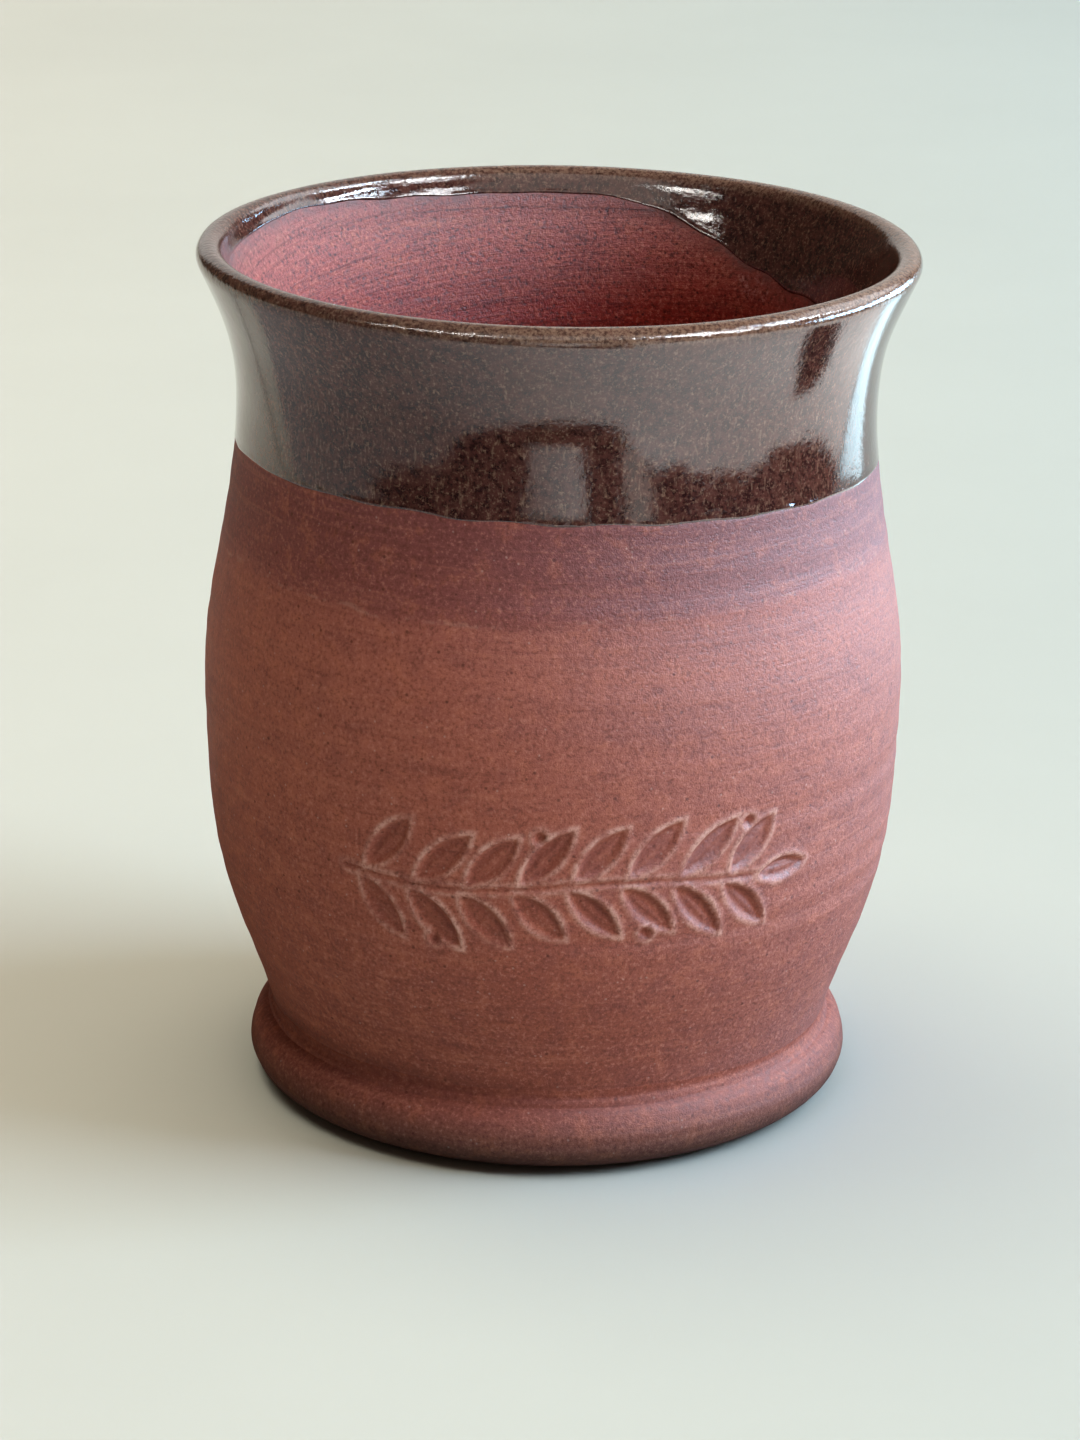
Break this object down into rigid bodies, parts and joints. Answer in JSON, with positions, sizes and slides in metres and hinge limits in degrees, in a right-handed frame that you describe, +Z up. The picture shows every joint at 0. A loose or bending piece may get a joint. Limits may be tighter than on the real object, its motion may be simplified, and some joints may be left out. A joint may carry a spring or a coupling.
{
  "type": "wine cup",
  "caption": "Thrown red-clay wine cup with a full belly, a drawn-in neck, a flared lip coated in dark glaze, and a rounded foot ring to stand on.",
  "frame": {"origin": "centre of the circle that the foot's flat tread stands on", "axes": "+Z up along the turning axis to the lip, -Y towards the front of the cup, +X to the right of someone who looks at the front"},
  "size_m": [0.085, 0.085, 0.1036],
  "materials": {
    "wall_clay": "bare fired red clay, matt, finely speckled, with faint throwing rings",
    "floor_clay": "bare fired red clay, matt, with throwing rings",
    "foot_clay": "bare fired red clay, matt, greyer under the foot",
    "slip": "bare fired slip, matt",
    "glaze": "dark brown gloss glaze, speckled, breaking lighter on the lip"
  },
  "bodies": {
    "root": {"thrown_wall": "wall_clay", "floor_disc": "floor_clay", "foot_ring": "foot_clay", "luting_slip": "slip", "glaze_coat": "glaze"}
  },
  "joints": []
}
